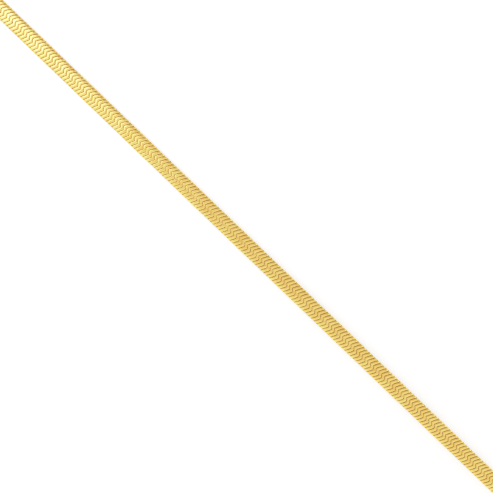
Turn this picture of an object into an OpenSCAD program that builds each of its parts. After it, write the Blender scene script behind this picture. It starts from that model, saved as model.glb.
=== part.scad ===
// A flat snake chain necklace, closed and lying on a table, in millimetres.
// The straight front stretch runs along X, the clasp lies behind it on +Y,
// and the flat underside of the chain is the plane Z = 0.

/* [Chain] */
// Length of the closed necklace along its middle line
necklace_length = 457; // [430:1:560]
// Width of the flat chain
chain_w = 3; // [2.6:0.1:3.2]
// Thickness of the flat chain
chain_t = 0.9; // [0.8:0.05:1]
// Length of the straight stretch at the front
front_straight = 132; // [120:1:140]

/* [End caps] */
// Thickness of the sheet that the end caps are folded from
cap_wall = 0.3; // [0.25:0.01:0.35]
// Length of an end cap without its eye
cap_length = 3.4; // [3.2:0.1:3.8]
// Thickness of the flat eye on an end cap
eye_t = 0.35; // [0.3:0.05:0.4]

/* [Rings] */
// Diameter of the wire of the two rings
ring_wire = 0.55; // [0.5:0.01:0.56]
// Radius of a ring to the middle of its wire
ring_r = 1.7; // [1.68:0.01:1.75]
// Angle at which the rings lean, up from the table
ring_lean = 45; // [44:1:46]

/* [Clasp] */
// Radius of the claw to the middle of its rod
claw_r = 1.7; // [1.65:0.01:1.75]
// Radius of the claw's rod at the nose
nose_r = 0.45; // [0.42:0.01:0.46]
// Radius of the ball where the claw and its lever meet
hub_r = 1.35; // [1.34:0.01:1.38]

/* [Hidden] */
$fn = 64;
gold = [0.87, 0.70, 0.33];

// Route of the chain: the front run, two small quarter bends, two large ones and the back run.
edge_r = 0.44 * chain_t;
front_half = front_straight / 2;
back_half = 24;
mean_bend = (necklace_length / 2 - front_half - back_half) / PI;
bend_small = round(100 * (mean_bend - (front_half - back_half) / 2)) / 100;
bend_large = bend_small + front_half - back_half;
back_y = bend_small + bend_large;

// Clearances: round the wire, round the chain in its cap, and how far solids run into each other.
nose_play = 0.3;
eye_play = 0.2;
slack = 0.1;
lap = 0.3;

// Section of an end cap, and its eye.
pocket_w = chain_w + 2 * slack;
pocket_t = chain_t + slack;
cap_w = pocket_w + 2 * cap_wall;
cap_t = pocket_t + cap_wall;
cap_corner = 0.5;
cap_pocket = 2.6;
cap_grip = 2.4;
eye_hole_r = 1.05;
eye_r = 1.5;
eye_neck = 0.5;
eye_z = cap_t - eye_t / 2;

// Shape of the claw: its legs thicken from the nose to the ball, the body more than the lever.
hub_z = hub_r;
hub_x = -2 * claw_r + 0.3;
claw_leg_length = 2 * claw_r * cos(30);
leg_tip_r = nose_r + 0.07;
body_root_r = 0.8 * hub_r;
lever_root_r = 0.54 * hub_r;
thumb_r = 0.45;
clasp_eye_t = 0.5;
clasp_eye_x = hub_x - hub_r - 1;

// A ring leans with its lowest point on the table and its wire through the middle of both eyes.
wire_r = ring_wire / 2;
ring_gap = 4;
ring_z = ring_r * sin(ring_lean) + wire_r;
ring_shift = (ring_z - (eye_z + hub_z) / 2) / tan(ring_lean);
function reach(z) = sqrt(pow(ring_r, 2) - pow((ring_z - z) / sin(ring_lean), 2));

// Places along X, counted from the middle of the claw.
jump_ring_x = clasp_eye_x - eye_play - reach(hub_z);
end_ring_x = claw_r - nose_r - nose_play - wire_r + reach(hub_z);
left_eye_x = jump_ring_x - reach(eye_z) - eye_play;
right_eye_x = end_ring_x + reach(eye_z) + eye_play;

// Places along X, counted from the middle of the necklace.
claw_x = -(left_eye_x + right_eye_x) / 2;
eye_x = (right_eye_x - left_eye_x) / 2;
cap_end_x = eye_x + eye_r + eye_neck;
cap_mouth_x = cap_end_x + cap_length;
chain_end_x = cap_mouth_x - cap_grip;

// The origin is the middle of the whole thing's footprint.
front_edge_y = -chain_w / 2;
back_edge_y = back_y + claw_r + nose_r;
middle_y = (front_edge_y + back_edge_y) / 2;

module place() {
    translate([0, -middle_y, 0]) children();
}

module at_closure(x, y, z) {
    translate([x, back_y + y, z]) children();
}

module rounded_rectangle(width, height, radius) {
    square([width - 2 * radius, height], center = true);
    square([width, height - 2 * radius], center = true);
    for (side = [-1, 1], end = [-1, 1])
        translate([side * (width / 2 - radius), end * (height / 2 - radius)])
            circle(r = radius);
}

module chain_section() {
    translate([0, chain_t / 2]) rounded_rectangle(chain_w, chain_t, edge_r);
}

module chain_run(length) {
    rotate([90, 0, 90]) linear_extrude(height = length) chain_section();
}

module chain_bend(radius, from) {
    rotate_extrude(angle = 90, start = from)
        translate([radius, 0]) chain_section();
}

// One side of the loop, from the middle of the front run to the end inside the cap.
module chain_side() {
    translate([-lap, 0, 0]) chain_run(front_half + lap);
    translate([front_half, bend_small, 0]) chain_bend(bend_small, -90);
    translate([back_half, bend_small, 0]) chain_bend(bend_large, 0);
    translate([back_half, back_y, 0]) rotate([0, 0, 180]) chain_run(back_half - chain_end_x);
}

module chain() {
    color(gold) place() {
        chain_side();
        mirror([1, 0, 0]) chain_side();
    }
}

// The chain's room in its cap, open below.
module pocket_section() {
    translate([0, pocket_t / 2 - edge_r]) square([pocket_w, pocket_t], center = true);
    translate([0, pocket_t - edge_r])
        square([pocket_w - 2 * edge_r, 2 * edge_r], center = true);
    for (side = [-1, 1])
        translate([side * (pocket_w / 2 - edge_r), pocket_t - edge_r]) circle(r = edge_r);
}

// Outline of a cap from above, with the corners at the eye's end rounded.
module cap_outline() {
    translate([cap_end_x + cap_corner, -cap_w / 2])
        square([cap_length - cap_corner, cap_w]);
    translate([cap_end_x, cap_corner - cap_w / 2])
        square([cap_corner, cap_w - 2 * cap_corner]);
    for (side = [-1, 1])
        translate([cap_end_x + cap_corner, side * (cap_w / 2 - cap_corner)])
            circle(r = cap_corner);
}

module eye_outline() {
    root_x = cap_end_x + 0.4;
    root_y = 1.05 * eye_r;
    tip_y = 0.9 * eye_r;
    difference() {
        union() {
            translate([eye_x, 0]) circle(r = eye_r);
            polygon([[eye_x, -tip_y], [root_x, -root_y], [root_x, root_y], [eye_x, tip_y]]);
        }
        translate([eye_x, 0]) circle(r = eye_hole_r);
    }
}

// Folded sheet cap: it holds the chain from above and from both sides,
// and its upper leaf runs on as a flat eye.
module end_cap() {
    difference() {
        intersection() {
            translate([0, 0, cap_t / 2]) rotate([90, 0, 90])
                linear_extrude(height = cap_mouth_x)
                    rounded_rectangle(cap_w, cap_t, edge_r);
            linear_extrude(height = cap_t) cap_outline();
        }
        translate([cap_mouth_x - cap_pocket, 0, 0]) rotate([90, 0, 90])
            linear_extrude(height = cap_pocket + 1) pocket_section();
    }
    translate([0, 0, cap_t - eye_t]) linear_extrude(height = eye_t) eye_outline();
}

module end_cap_left() {
    color(gold) place() at_closure(0, 0, 0) mirror([1, 0, 0]) end_cap();
}

module end_cap_right() {
    color(gold) place() at_closure(0, 0, 0) end_cap();
}

// Bent wire ring with the fine gap where its ends meet.
module wire_ring(lean) {
    rotate([lean, 0, 0])
        rotate_extrude(angle = 360 - ring_gap, start = 90 + ring_gap / 2)
            translate([ring_r, 0]) circle(r = wire_r);
}

module jump_ring() {
    color(gold) place()
        at_closure(claw_x + jump_ring_x, ring_shift, ring_z) wire_ring(ring_lean);
}

module end_ring() {
    color(gold) place()
        at_closure(claw_x + end_ring_x, -ring_shift, ring_z) wire_ring(-ring_lean);
}

// A leg of the claw, from the end of the round nose back to the ball.
// The rod, the legs and the balls are each turned about themselves, so their seams lie apart.
module claw_leg(side, root_r) {
    rotate([0, 0, side * 120]) translate([claw_r, 0, 0])
        rotate([0, 0, side * 90]) translate([-lap, 0, 0])
            rotate([0, 90, 0]) rotate([0, 0, 70])
                cylinder(r1 = leg_tip_r, r2 = root_r, h = claw_leg_length + lap);
}

module clasp() {
    color(gold) place() at_closure(claw_x, 0, hub_z) difference() {
        union() {
            rotate_extrude(angle = 240, start = -120)
                translate([claw_r, 0]) rotate(90) circle(r = nose_r);
            claw_leg(1, body_root_r);
            claw_leg(-1, lever_root_r);
            translate([hub_x, 0, 0]) rotate([21, 90, 0]) sphere(r = hub_r);
            translate([hub_x + 1.2, -1.45, 0]) rotate([50, 0, 30]) sphere(r = thumb_r);
            translate([clasp_eye_x, 0, -clasp_eye_t / 2])
                cylinder(r = eye_r, h = clasp_eye_t);
        }
        translate([clasp_eye_x, 0, -hub_r]) cylinder(r = eye_hole_r, h = 2 * hub_r);
    }
}

chain();
end_cap_left();
end_cap_right();
jump_ring();
end_ring();
clasp();
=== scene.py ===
"""Flat snake chain necklace, closed with a lobster claw clasp, lying on a white table top.

The camera, table and light come first. The rest follows the necklace as it is put together:
the chain, the caps on its two ends, the two wire rings and the clasp.
"""
import math

import bpy
import numpy as np
from mathutils import Matrix, Vector


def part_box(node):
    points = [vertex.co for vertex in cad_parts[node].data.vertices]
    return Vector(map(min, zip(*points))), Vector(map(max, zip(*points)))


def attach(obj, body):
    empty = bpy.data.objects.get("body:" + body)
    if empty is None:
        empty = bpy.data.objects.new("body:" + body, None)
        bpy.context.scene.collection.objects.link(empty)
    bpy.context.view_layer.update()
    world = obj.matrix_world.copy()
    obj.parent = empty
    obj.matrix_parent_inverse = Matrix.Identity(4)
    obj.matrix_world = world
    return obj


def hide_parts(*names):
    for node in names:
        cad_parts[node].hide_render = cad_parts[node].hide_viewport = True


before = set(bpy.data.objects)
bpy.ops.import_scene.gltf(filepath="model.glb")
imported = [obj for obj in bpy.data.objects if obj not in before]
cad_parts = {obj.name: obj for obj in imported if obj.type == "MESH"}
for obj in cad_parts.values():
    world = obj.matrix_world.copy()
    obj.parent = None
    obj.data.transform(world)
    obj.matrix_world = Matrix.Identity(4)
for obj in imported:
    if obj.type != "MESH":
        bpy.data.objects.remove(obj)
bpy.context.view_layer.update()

mm = 0.001


# Camera. It looks down on the front run of the chain, which crosses the picture from its top
# left corner to its bottom right one, and leans a little: the left end is nearer. Its film has
# a soft shoulder, so the brightest gold turns pale before it turns white.
photo_px = 493
chain_width_px = 17.10
enters_px = (0.0, 8.7)
leaves_px = (493.0, 481.9)
camera_distance = 0.45
camera_lean = math.radians(4.0)
sensor = 36.0
film_white = 1.5
film_shoulder = ((0.35, 0.35), (0.60, 0.60), (0.72, 0.715), (0.82, 0.79), (0.92, 0.835),
                 (1.10, 0.875), (1.30, 0.92))

chain_low, chain_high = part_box("chain")
chain_w = 3.0 * mm
chain_t = chain_high[2]
front_y = chain_low[1] + chain_w / 2
px = chain_w / chain_width_px
picture_turn = math.atan2(leaves_px[1] - enters_px[1], leaves_px[0] - enters_px[0])
middle_drop = (photo_px - enters_px[1] - leaves_px[1]) / 2 * px

camera_data = bpy.data.cameras.new("camera")
camera_data.sensor_width = sensor
camera_data.lens = sensor * camera_distance / (photo_px * px)
camera = bpy.data.objects.new("camera", camera_data)
aim = Vector((middle_drop * math.sin(picture_turn),
              front_y - middle_drop * math.cos(picture_turn), chain_t))
facing = Matrix.Rotation(-camera_lean, 4, "Y") @ Matrix.Rotation(picture_turn, 4, "Z")
camera.location = aim + facing @ Vector((0.0, 0.0, camera_distance))
camera.rotation_euler = facing.to_euler()
bpy.context.scene.collection.objects.link(camera)
bpy.context.scene.camera = camera

film = bpy.context.scene.view_settings
film.view_transform = "Standard"
film.use_curve_mapping = True
film.curve_mapping.white_level = (film_white, film_white, film_white)
film_points = film.curve_mapping.curves[3].points
film_points[1].location = (1.0, 1.0)
for light, kept in film_shoulder:
    film_points.new(light / film_white, kept)
film.curve_mapping.update()


# Table and light. A white table top that glows a little, in a studio that is grey low down and
# brighter towards the bottom of the picture, with a window low at the top right and a greyer
# doorway at the bottom right. A cool softbox makes the left end of the front run paler.
white = (1.0, 1.0, 1.0, 1.0)
table_half = 1.5
table_white = (0.95, 0.95, 0.95, 1.0)
table_roughness = 0.9
table_shine = 0.2
table_glow = 0.58
studio_level = 1.03
light_from = (0.35, -0.45, 0.0)
panel_spread = 1.6
panel_detail = 1.0
panel_depth = 0.15
noise_low = 0.3
noise_high = 0.7
wall_shade = 0.45
wall_top = 0.42
window_from = (0.65, 0.55, 0.30)
window_edge = (0.95, 0.985)
window_level = 2.0
doorway_from = (0.55, -0.70, 0.45)
doorway_edge = (0.80, 0.98)
doorway_level = -0.25
softbox_watts = 0.054
softbox_tint = (0.88, 0.98, 1.50)
softbox_size = (0.13, 0.18)
softbox_at = (-0.105, front_y - 0.072, 0.090)
softbox_spread = math.radians(90.0)


def faces_mesh(name, points, faces):
    """A smooth mesh object from an (n, 3) array of points and an (m, 4) array of faces."""
    mesh = bpy.data.meshes.new(name)
    mesh.from_pydata(points.tolist(), [], faces.tolist())
    mesh.polygons.foreach_set("use_smooth", np.ones(len(mesh.polygons), bool))
    piece = bpy.data.objects.new(name, mesh)
    bpy.context.scene.collection.objects.link(piece)
    return piece


def grid_mesh(name, points, wrap_columns=False):
    """A smooth mesh on an (n, m, 3) grid of points, where each cell of the grid is one face.

    With wrap_columns the last column is joined to the first one.
    """
    rows, columns = points.shape[:2]
    index = np.arange(rows * columns).reshape(rows, columns)
    if wrap_columns:
        index = np.concatenate([index, index[:, :1]], 1)
    cells = np.stack([index[:-1, :-1], index[:-1, 1:], index[1:, 1:], index[1:, :-1]], -1)
    return faces_mesh(name, points.reshape(-1, 3), cells.reshape(-1, 4))


side = np.array([-table_half, table_half])
table_x, table_y = np.meshgrid(side, side)
table = grid_mesh("table", np.stack([table_x, table_y, np.zeros((2, 2))], -1))
table_paint = bpy.data.materials.new("table_white")
table_paint.use_nodes = True
table_shader = table_paint.node_tree.nodes["Principled BSDF"]
table_shader.inputs["Base Color"].default_value = table_white
table_shader.inputs["Roughness"].default_value = table_roughness
table_shader.inputs["Specular IOR Level"].default_value = table_shine
table_shader.inputs["Emission Color"].default_value = white
table_shader.inputs["Emission Strength"].default_value = table_glow
table.data.materials.append(table_paint)

studio = bpy.data.worlds.new("studio")
studio.use_nodes = True
studio_nodes = studio.node_tree.nodes
studio_links = studio.node_tree.links
heading = studio_nodes.new("ShaderNodeTexCoord")


def studio_patch(towards, edge, level):
    """A soft round patch of the studio, which adds its level to the light from one direction.

    The edge gives the cosines of the turns from that direction where it starts and where it is full.
    """
    nearness = studio_nodes.new("ShaderNodeVectorMath")
    nearness.operation = "DOT_PRODUCT"
    nearness.inputs[1].default_value = Vector(towards).normalized()
    patch = studio_nodes.new("ShaderNodeMapRange")
    patch.interpolation_type = "SMOOTHSTEP"
    patch.inputs["From Min"].default_value, patch.inputs["From Max"].default_value = edge
    patch.inputs["To Max"].default_value = level
    studio_links.new(heading.outputs["Generated"], nearness.inputs[0])
    studio_links.new(nearness.outputs["Value"], patch.inputs["Value"])
    return patch


background = studio_nodes["Background"]
background.inputs["Color"].default_value = white
towards_light = studio_nodes.new("ShaderNodeVectorMath")
towards_light.operation = "DOT_PRODUCT"
towards_light.inputs[1].default_value = light_from
panels = studio_nodes.new("ShaderNodeTexNoise")
panels.inputs["Scale"].default_value = panel_spread
panels.inputs["Detail"].default_value = panel_detail
panel_level = studio_nodes.new("ShaderNodeMapRange")
panel_level.inputs["From Min"].default_value = noise_low
panel_level.inputs["From Max"].default_value = noise_high
panel_level.inputs["To Min"].default_value = studio_level - panel_depth
panel_level.inputs["To Max"].default_value = studio_level + panel_depth
apart = studio_nodes.new("ShaderNodeSeparateXYZ")
walls = studio_nodes.new("ShaderNodeMapRange")
walls.interpolation_type = "SMOOTHSTEP"
walls.inputs["From Min"].default_value = 0.0
walls.inputs["From Max"].default_value = wall_top
walls.inputs["To Min"].default_value = -wall_shade
walls.inputs["To Max"].default_value = 0.0
window = studio_patch(window_from, window_edge, window_level)
doorway = studio_patch(doorway_from, doorway_edge, doorway_level)
studio_links.new(heading.outputs["Generated"], towards_light.inputs[0])
studio_links.new(heading.outputs["Generated"], panels.inputs["Vector"])
studio_links.new(panels.outputs["Fac"], panel_level.inputs["Value"])
studio_links.new(heading.outputs["Generated"], apart.inputs["Vector"])
studio_links.new(apart.outputs["Z"], walls.inputs["Value"])
strength = towards_light.outputs["Value"]
for part in (panel_level, walls, window, doorway):
    both = studio_nodes.new("ShaderNodeMath")
    both.operation = "ADD"
    studio_links.new(strength, both.inputs[0])
    studio_links.new(part.outputs["Result"], both.inputs[1])
    strength = both.outputs["Value"]
studio_links.new(strength, background.inputs["Strength"])
bpy.context.scene.world = studio

softbox_data = bpy.data.lights.new("softbox", "AREA")
softbox_data.shape = "RECTANGLE"
softbox_data.size, softbox_data.size_y = softbox_size
softbox_data.energy = softbox_watts
softbox_data.color = softbox_tint
softbox_data.spread = softbox_spread
softbox = bpy.data.objects.new("softbox", softbox_data)
softbox.location = softbox_at
softbox.visible_camera = False
bpy.context.scene.collection.objects.link(softbox)


# Chain. One long row of stamped gold-plated links, each a closed wavy ring of metal that hooks
# into the next, then pressed flat. A link shows a slanting rib on each half of the flat face,
# and a rounded step back in a shallow dip between them. It replaces the plain band of model.glb.
link_pitch = 0.6840 * mm
front_half = 66.0 * mm
back_half = 24.0 * mm
edge_r = 0.44 * chain_t
cap_hold = 2.4 * mm
end_room = 1.4 * mm

slant = 0.50
step_back = 0.75 * mm
step_from = -0.42 * mm
step_to = 0.24 * mm
face_across = np.array([-0.88, -0.38, -0.20, 0.17, 0.28, 0.88]) * mm
edge_turn = np.radians([15.0, 55.0])
crown = 0.03 * mm
face_dip = np.array([0.0, 0.0, 0.012, 0.012, 0.0, 0.0]) * mm

rib_ahead = np.array([-0.32, -0.23, 0.27, 0.38]) * mm
rib_depth = np.array([0.035, 0.00, 0.00, 0.100]) * mm

gold_pale = (0.87, 0.60, 0.13, 1.0)
gold_deep = (0.81, 0.49, 0.07, 1.0)
tone_mean = 0.5
tone_spread = 0.16
lacquer_ior = 1.80
lacquer_roughness = 0.45

cap_low, cap_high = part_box("end_cap_right")
back_y = (cap_low[1] + cap_high[1]) / 2
chain_end_x = cap_high[0] - cap_hold
bend_sum = back_y - front_y
bend_small = (bend_sum - (front_half - back_half)) / 2
bend_large = bend_sum - bend_small
quarter = math.pi / 2
# For each stretch of the route: its start, its heading, its length, and its radius if it bends.
stretches = [
    ((-chain_end_x, back_y), math.pi, back_half - chain_end_x, 0.0),
    ((-back_half, back_y), math.pi, bend_large * quarter, bend_large),
    ((-front_half - bend_small, front_y + bend_small), 3 * quarter, bend_small * quarter, bend_small),
    ((-front_half, front_y), 0.0, 2 * front_half, 0.0),
    ((front_half, front_y), 0.0, bend_small * quarter, bend_small),
    ((front_half + bend_small, front_y + bend_small), quarter, bend_large * quarter, bend_large),
    ((back_half, back_y), math.pi, back_half - chain_end_x, 0.0),
]
chain_length = sum(length for _, _, length, _ in stretches)


def on_route(distance, to_left):
    """Places on the table, from the distance along the chain and the distance left of its middle.

    The chain lies in straight runs and round bends. On a run a place moves along the heading, on
    a bend it turns about a centre that lies one radius to the left.
    """
    x = np.zeros_like(distance)
    y = np.zeros_like(distance)
    done = 0.0
    for number, (start, heading, length, radius) in enumerate(stretches):
        here = distance >= (done if number else -1.0)
        along = distance[here] - done
        left = to_left[here]
        if radius:
            turned = heading + along / radius
            x[here] = start[0] - radius * math.sin(heading) + (radius - left) * np.sin(turned)
            y[here] = start[1] + radius * math.cos(heading) - (radius - left) * np.cos(turned)
        else:
            x[here] = start[0] + along * math.cos(heading) - left * math.sin(heading)
            y[here] = start[1] + along * math.sin(heading) + left * math.cos(heading)
        done += length
    return x, y


def rib_lead(across):
    """How far a rib runs ahead at a distance across the face: a slant less a smooth step back."""
    ramp = np.clip((across - step_from) / (step_to - step_from), 0.0, 1.0)
    return slant * across - step_back * ramp * ramp * (3 - 2 * ramp)


# One half of a link's outline goes up the near edge, over the face and down the far edge. The
# other half is the same one turned half a turn about the chain's middle.
corner = np.array([chain_w / 2 - edge_r, chain_t / 2 - edge_r])
near_out = np.stack([-np.cos(edge_turn), np.sin(edge_turn)], -1)
near = corner * [-1, 1] + edge_r * near_out
face_height = chain_t / 2 - crown * (face_across / face_across[-1]) ** 2 - face_dip
over = np.stack([face_across, face_height], -1)
half_outline = np.concatenate([near, over, (near * [-1, 1])[::-1]])
half_out = np.concatenate([near_out, np.tile([0.0, 1.0], (len(over), 1)),
                           (near_out * [-1, 1])[::-1]])
outline = np.concatenate([half_outline, -half_outline])
outward = np.concatenate([half_out, -half_out])
lead = np.tile(rib_lead(half_outline[:, 0]), 2)
lead -= lead.mean()

link_count = int((chain_length - end_room) / link_pitch)
link_at = chain_length / 2 + (np.arange(link_count) - (link_count - 1) / 2) * link_pitch
distance = link_at[:, None, None] + lead[None, :, None] + rib_ahead[None, None, :]
across = outline[:, None, 0] - outward[:, None, 0] * rib_depth[None, :]
height = outline[:, None, 1] - outward[:, None, 1] * rib_depth[None, :] + chain_t / 2
across = np.broadcast_to(across, distance.shape)
height = np.broadcast_to(height, distance.shape)
link_x, link_y = on_route(distance, across)
link_points = np.stack([link_x, link_y, height], -1)

index = np.arange(distance.size).reshape(distance.shape)
further = np.roll(index, -1, 1)
link_faces = np.stack([index, further, np.roll(further, -1, 2), np.roll(index, -1, 2)], -1)
chain_links = faces_mesh("chain_links", link_points.reshape(-1, 3), link_faces.reshape(-1, 4))
chance = np.random.default_rng(7)
tone = chance.normal(tone_mean, tone_spread, link_count).clip(0.0, 1.0)
tone_layer = chain_links.data.attributes.new("link_tone", "FLOAT", "POINT")
tone_layer.data.foreach_set("value", np.repeat(tone, outline.shape[0] * len(rib_depth)))


cloud_detail = 3.0
grain_detail = 4.0
grain_roughness = 0.65
grain_swing = 0.08
grain_bump = 0.25
grain_height = 0.03


def gold_finish(name, pale, deep, roughness, lacquer, cloud, cloud_depth, grain, own_tone=None):
    """Gold plating over brass: a cloudy tone between pale and deep gold, and a fine polished grain.

    The tone is a noise as wide as cloud, about the piece's own tone where it has one. The grain
    is a finer noise that moves both the roughness and the height of the surface. A thin clear
    lacquer lies over the gold, as much of it as the lacquer value says.
    """
    paint = bpy.data.materials.new(name)
    paint.use_nodes = True
    nodes = paint.node_tree.nodes
    links = paint.node_tree.links
    shader = nodes["Principled BSDF"]
    shader.inputs["Metallic"].default_value = 1.0
    shader.inputs["Coat Weight"].default_value = lacquer
    shader.inputs["Coat IOR"].default_value = lacquer_ior
    shader.inputs["Coat Roughness"].default_value = lacquer_roughness
    where = nodes.new("ShaderNodeTexCoord")
    clouds = nodes.new("ShaderNodeTexNoise")
    clouds.inputs["Scale"].default_value = 1.0 / cloud
    clouds.inputs["Detail"].default_value = cloud_detail
    links.new(where.outputs["Object"], clouds.inputs["Vector"])
    spread = nodes.new("ShaderNodeMapRange")
    spread.inputs["From Min"].default_value = noise_low
    spread.inputs["From Max"].default_value = noise_high
    spread.inputs["To Min"].default_value = -cloud_depth
    spread.inputs["To Max"].default_value = cloud_depth
    links.new(clouds.outputs["Fac"], spread.inputs["Value"])
    level = nodes.new("ShaderNodeMath")
    level.operation = "ADD"
    level.use_clamp = True
    level.inputs[1].default_value = tone_mean
    links.new(spread.outputs["Result"], level.inputs[0])
    if own_tone:
        own = nodes.new("ShaderNodeAttribute")
        own.attribute_name = own_tone
        links.new(own.outputs["Fac"], level.inputs[1])
    blend = nodes.new("ShaderNodeMix")
    blend.data_type = "RGBA"
    blend.inputs["A"].default_value = deep
    blend.inputs["B"].default_value = pale
    links.new(level.outputs["Value"], blend.inputs["Factor"])
    links.new(blend.outputs["Result"], shader.inputs["Base Color"])
    fine = nodes.new("ShaderNodeTexNoise")
    fine.inputs["Scale"].default_value = 1.0 / grain
    fine.inputs["Detail"].default_value = grain_detail
    fine.inputs["Roughness"].default_value = grain_roughness
    links.new(where.outputs["Object"], fine.inputs["Vector"])
    rough = nodes.new("ShaderNodeMapRange")
    rough.inputs["To Min"].default_value = roughness - grain_swing
    rough.inputs["To Max"].default_value = roughness + grain_swing
    links.new(fine.outputs["Fac"], rough.inputs["Value"])
    links.new(rough.outputs["Result"], shader.inputs["Roughness"])
    bump = nodes.new("ShaderNodeBump")
    bump.inputs["Strength"].default_value = grain_bump
    bump.inputs["Distance"].default_value = grain_height * grain
    links.new(fine.outputs["Fac"], bump.inputs["Height"])
    links.new(bump.outputs["Normal"], shader.inputs["Normal"])
    return paint


chain_gold = gold_finish("chain_gold", gold_pale, gold_deep, roughness=0.24, lacquer=1.0,
                         cloud=1.6 * mm, cloud_depth=0.35, grain=0.12 * mm, own_tone="link_tone")
chain_links.data.materials.append(chain_gold)
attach(chain_links, "root")
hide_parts("chain")


# End caps. Each end of the chain is gripped in a cap folded from gold-plated sheet: a channel
# that is open below, closed at its outer end, with its upper leaf running on as a flat eye.
cap_wall = 0.30
cap_length = 3.40
cap_depth = 2.60
cap_width = 3.80
cap_height = 1.30
cap_corner = 0.50
cap_fold = 0.396
pocket_half = 1.60
eye_sheet = 0.35
eye_outer = 1.50
eye_hole = 1.05
eye_to_cap = 2.00
tongue_share = 0.90
tongue_flare = 0.094
tongue_length = 2.4
sheet_edge = 0.10
leaf_edge = 0.08
cut_edge = 0.06
leaf_blend = 0.15
fold_blend = 0.12
cast_step = 0.06
settle_rounds = 3
least_steepness = 0.25


def cast_mesh(name, field, low, high, step):
    """A closed smooth surface where a field of place is zero, the metal being where it is negative.

    The field is taken at the points of a grid. Each cell that the surface passes through gets one
    point, the mean of where it crosses the cell's edges. Each grid edge that it crosses gets the
    face between the four cells round it. The points then move down the field's slope on to it.
    Lengths in the field are millimetres.
    """
    axes = [np.arange(a - 2 * step, b + 2.5 * step, step) for a, b in zip(low, high)]
    grid = np.stack(np.meshgrid(*axes, indexing="ij"), -1)
    value = field(grid)
    cells = tuple(n - 1 for n in value.shape)
    total = np.zeros(cells + (3,))
    count = np.zeros(cells)
    crossings = []
    for axis in range(3):
        lined = np.moveaxis(value, axis, 0)
        first, second = lined[:-1], lined[1:]
        crosses = (first < 0) != (second < 0)
        share = first / np.where(crosses, first - second, 1.0)
        place = np.moveaxis(grid, axis, 0)[:-1].copy()
        place[..., axis] += share * step
        crossings.append((crosses, first < 0))
        for i in (0, 1):
            for j in (0, 1):
                part = (slice(None), slice(i, i + lined.shape[1] - 1), slice(j, j + lined.shape[2] - 1))
                hit = np.moveaxis(crosses[part], 0, axis)
                total += hit[..., None] * np.moveaxis(place[part], 0, axis)
                count += hit
    used = count > 0
    number = np.full(cells, -1)
    number[used] = np.arange(used.sum())
    points = total[used] / count[used][:, None]
    faces = []
    for axis, (crosses, leaves) in enumerate(crossings):
        round_it = np.moveaxis(number, axis, 0)
        inner = crosses[:, 1:-1, 1:-1]
        four = np.stack([round_it[:, :-1, :-1], round_it[:, 1:, :-1],
                         round_it[:, 1:, 1:], round_it[:, :-1, 1:]], -1)[inner]
        turned = leaves[:, 1:-1, 1:-1][inner] == (axis == 1)
        four[turned] = four[turned][:, ::-1]
        faces.append(four)
    small = 0.05 * step
    for _ in range(settle_rounds):
        slope = np.stack([field(points + small * e) - field(points - small * e)
                          for e in np.eye(3)], -1) / (2 * small)
        steepness = np.maximum((slope ** 2).sum(-1), least_steepness)
        move = (field(points) / steepness)[:, None] * slope
        points = points - move.clip(-step, step)
    return faces_mesh(name, points * mm, np.concatenate(faces))


def join(a, b, blend):
    """The two metals together, with a fillet about as wide as blend where they meet."""
    share = np.clip(0.5 + 0.5 * (b - a) / blend, 0.0, 1.0)
    return b + (a - b) * share - blend * share * (1 - share)


def overlap(a, b, blend):
    """Only where both metals are, with edges that are rounded by about blend."""
    return -join(-a, -b, blend)


def rounded_plate(u, v, half_u, half_v, radius):
    """Signed distance from a rectangle with rounded corners, middle at zero."""
    out_u = np.abs(u) - half_u + radius
    out_v = np.abs(v) - half_v + radius
    beyond = np.hypot(np.maximum(out_u, 0), np.maximum(out_v, 0))
    return beyond + np.minimum(np.maximum(out_u, out_v), 0) - radius


def end_cap_field(place):
    """A folded channel with its pocket cut out, joined to a flat eye that tapers towards it.

    X is counted from the middle of the eye towards the chain, Y from the middle of the cap.
    """
    x, y, z = np.moveaxis(place, -1, 0)
    far_end = eye_to_cap + cap_length
    plan = rounded_plate(x - eye_to_cap - cap_length, y, cap_length, cap_width / 2, cap_corner)
    body = rounded_plate(y, z - cap_height / 2, cap_width / 2, cap_height / 2, cap_fold)
    body = overlap(overlap(body, plan, sheet_edge), x - far_end, cut_edge)
    pocket = rounded_plate(y, z, pocket_half, cap_height - cap_wall, cap_fold)
    pocket = np.maximum(pocket, far_end - cap_depth - x)
    body = overlap(body, -pocket, cut_edge)
    disc = np.hypot(x, y) - eye_outer
    tongue_half = tongue_share * eye_outer + tongue_flare * np.clip(x, 0.0, tongue_length)
    tongue = np.maximum(np.abs(y) - tongue_half, np.maximum(-x, x - tongue_length))
    leaf = overlap(join(disc, tongue, leaf_blend), eye_hole - np.hypot(x, y), cut_edge)
    leaf = overlap(leaf, np.abs(z - cap_height + eye_sheet / 2) - eye_sheet / 2, leaf_edge)
    return join(body, leaf, fold_blend)


fitting_pale = (0.84, 0.58, 0.17, 1.0)
fitting_deep = (0.78, 0.49, 0.10, 1.0)
fitting_gold = gold_finish("fitting_gold", fitting_pale, fitting_deep, roughness=0.16,
                           lacquer=0.3, cloud=1.2 * mm, cloud_depth=0.5, grain=0.08 * mm)
for name, towards in (("end_cap_right", 1), ("end_cap_left", -1)):
    low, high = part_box(name)
    eye_x = (low[0] if towards > 0 else high[0]) / mm + towards * eye_outer

    def placed_field(place):
        """The cap's field, moved to this end of the chain and facing it."""
        local = place - np.array([eye_x, back_y / mm, 0.0])
        return end_cap_field(local * [towards, 1, 1])

    cap = cast_mesh(name + "_sheet", placed_field,
                    np.array(low) / mm, np.array(high) / mm, cast_step)
    cap.data.materials.append(fitting_gold)
    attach(cap, "root")
    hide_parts(name)


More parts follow.
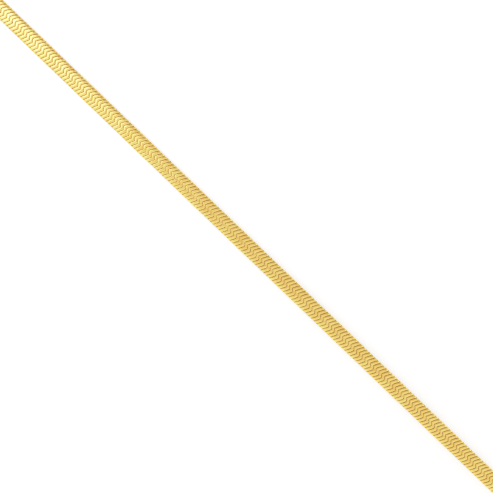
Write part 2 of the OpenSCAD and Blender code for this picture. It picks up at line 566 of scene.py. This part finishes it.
# Rings. Two rings of round gold-plated wire, bent round until their cut ends nearly meet, join
# the cap's eyes to the clasp: the jump ring at its eye, the end ring where its claw hooks in.
ring_r = 1.70 * mm
ring_wire = 0.55 * mm
ring_gap = math.radians(4.0)
ring_lean = {"jump_ring": math.radians(45.0), "end_ring": math.radians(-45.0)}
ring_rows = 96
ring_columns = 24
cut_along = np.array([0.0, 0.0, 0.0, 0.03, 0.10]) * mm
cut_radius = np.array([0.0, 0.5, 0.88, 0.98, 1.0])


def wire_ring(middle, lean):
    """A tube round a circle that leans up from the table, cut across at its gap.

    Rows go round the circle, columns round the wire. The first and last few rows close the cut
    ends: the wire's radius falls to nothing there.
    """
    span = 2 * math.pi - ring_gap
    cut = cut_along / ring_r
    between = np.linspace(cut[-1], span - cut[-1], ring_rows)[1:-1]
    turn = np.concatenate([cut, between, span - cut[::-1]])
    turn = turn + math.pi / 2 + ring_gap / 2
    radius = np.concatenate([cut_radius, np.ones_like(between), cut_radius[::-1]]) * ring_wire / 2
    about = np.linspace(0, 2 * math.pi, ring_columns, endpoint=False)
    reach = ring_r + radius[:, None] * np.cos(about)
    flat_x = reach * np.cos(turn)[:, None]
    flat_y = reach * np.sin(turn)[:, None]
    flat_z = radius[:, None] * np.sin(about) * np.ones_like(flat_x)
    return np.stack([
        middle[0] + flat_x,
        middle[1] + flat_y * math.cos(lean) - flat_z * math.sin(lean),
        middle[2] + flat_y * math.sin(lean) + flat_z * math.cos(lean),
    ], -1)


for name, lean in ring_lean.items():
    low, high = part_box(name)
    middle = [(a + b) / 2 for a, b in zip(low, high)]
    ring = grid_mesh(name + "_wire", wire_ring(middle, lean), wrap_columns=True)
    ring.data.materials.append(fitting_gold)
    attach(ring, "root")
    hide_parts(name)


# Clasp. A cast and polished lobster claw: a hooked body with a round hub and an eye, a lever
# with a thumb knob that closes the hook, and the pin that the lever turns on.
claw_r = 1.70
nose_r = 0.45
nose_end = math.radians(-125.0)
bow_start = -0.1
bow_end = math.radians(120.0)
bow_r = nose_r + 0.02
mouth_turn = math.radians(-110.0)
lever_turn = math.radians(-113.0)

leg_start, leg_start_r = (-0.85, 1.472, 0.0), 0.52
leg_end, leg_end_r = (-3.00, 0.24, 0.0), 0.98
hub_r = 1.35
hub_x = -3.10
neck_start, neck_start_r = (hub_x - 0.9, 0.0, 0.0), 0.60
neck_end, neck_end_r = (hub_x - 1.45, 0.0, 0.0), 0.30
clasp_eye_x = -5.45
clasp_eye_r = 1.275
clasp_eye_wire = 0.225
clasp_eye_flat = 0.94
clasp_eye_hole = 1.05

blade_start, blade_start_r = (-2.85, -0.32, 0.0), 0.66
blade_end, blade_end_r = (-0.90, -1.445, 0.0), 0.47
tip_turns = (math.radians(-122.0), math.radians(-100.0))
knob_at = (-1.90, -1.45, 0.0)
knob_r = 0.42
knob_flat = (1.0, 1.0, 0.9)

pin_x = hub_x + 0.1
pin_r = 0.34
pin_foot = 0.8
pin_dome_z = 0.55
pin_dome_r = 0.84
pin_step = 0.04
rim_r = 0.40
rim_z = 1.29
rim_wire = 0.06

claw_edge = 0.10
rim_edge = 0.05
leg_blend = 0.30
hub_blend = 0.45
eye_blend = 0.25
tip_blend = 0.15
knob_blend = 0.16


def rod(place, start, end, start_r, end_r):
    """Signed distance, nearly, from a round rod that tapers between two points."""
    start, end = np.array(start), np.array(end)
    along = ((place - start) @ (end - start) / ((end - start) @ (end - start))).clip(0.0, 1.0)
    middle = start + along[..., None] * (end - start)
    return np.linalg.norm(place - middle, axis=-1) - start_r - along * (end_r - start_r)


def arc(place, radius, from_turn, to_turn, wire):
    """Signed distance from a round rod bent along part of a circle about the origin."""
    turn = np.arctan2(place[..., 1], place[..., 0]).clip(from_turn, to_turn)
    middle = radius * np.stack([np.cos(turn), np.sin(turn), np.zeros_like(turn)], -1)
    return np.linalg.norm(place - middle, axis=-1) - wire


def past(place, turn):
    """Distance round the circle's middle beyond a turn, towards smaller turns."""
    return place[..., 0] * math.sin(turn) - place[..., 1] * math.cos(turn)


def clasp_body_field(place):
    """The hook's nose, bow and leg, the hub and the eye, run together with fillets."""
    nose = arc(place, claw_r, nose_end, 0.0, nose_r)
    nose = overlap(nose, past(place, mouth_turn), claw_edge)
    bow = arc(place, claw_r, bow_start, bow_end, bow_r)
    leg = rod(place, leg_start, leg_end, leg_start_r, leg_end_r)
    hub = np.linalg.norm(place - [hub_x, 0.0, 0.0], axis=-1) - hub_r
    neck = rod(place, neck_start, neck_end, neck_start_r, neck_end_r)
    eye_off = place - [clasp_eye_x, 0.0, 0.0]
    eye_round = np.hypot(eye_off[..., 0], eye_off[..., 1])
    eye = np.hypot(eye_round - clasp_eye_r, clasp_eye_flat * eye_off[..., 2]) - clasp_eye_wire
    pin_off = place - [pin_x, 0.0, 0.0]
    pin_round = np.hypot(pin_off[..., 0], pin_off[..., 1])
    rim = np.hypot(pin_round - rim_r, pin_off[..., 2] - rim_z) - rim_wire
    body = join(join(np.minimum(nose, bow), leg, leg_blend), hub, hub_blend)
    body = overlap(body, -rim, rim_edge)
    body = join(join(body, neck, eye_blend), eye, eye_blend)
    return np.maximum(body, clasp_eye_hole - eye_round)


def clasp_lever_field(place):
    """The lever from its hub to the mouth, with the round knob that a thumb pulls."""
    blade = rod(place, blade_start, blade_end, blade_start_r, blade_end_r)
    tip = arc(place, claw_r, *tip_turns, nose_r)
    knob = np.linalg.norm((place - knob_at) / knob_flat, axis=-1) - knob_r
    lever = join(join(blade, tip, tip_blend), knob, knob_blend)
    return overlap(lever, -past(place, lever_turn), claw_edge)


clasp_end_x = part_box("clasp")[1][0]
claw_middle = np.array([clasp_end_x / mm - claw_r - nose_r, back_y / mm, hub_r])
# For each part: its field, and the low and high corners of the room it takes about the claw.
clasp_parts = {
    "clasp_body": (clasp_body_field, (-7.0, -2.2, -1.4), (2.2, 2.2, 1.4)),
    "clasp_lever": (clasp_lever_field, (-3.6, -2.0, -0.7), (0.2, 0.5, 0.7)),
}
for name, (field, low, high) in clasp_parts.items():
    part = cast_mesh(name, lambda place: field(place - claw_middle),
                     np.array(low) + claw_middle, np.array(high) + claw_middle, cast_step)
    part.data.materials.append(fitting_gold)
    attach(part, "root")
    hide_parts("clasp")


def pin_field(place):
    """A short round pin with a low domed head, upright in the hub."""
    off = place - claw_middle - [pin_x, 0.0, 0.0]
    shank = np.hypot(off[..., 0], off[..., 1]) - pin_r
    dome = np.linalg.norm(off - [0.0, 0.0, pin_dome_z], axis=-1) - pin_dome_r
    return overlap(np.maximum(shank, pin_foot - off[..., 2]), dome, rim_edge)


pin = cast_mesh("clasp_pin", pin_field, claw_middle + [pin_x - 0.5, -0.5, 0.7],
                claw_middle + [pin_x + 0.5, 0.5, 1.5], pin_step)
pin.data.materials.append(fitting_gold)
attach(pin, "root")
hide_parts("clasp")
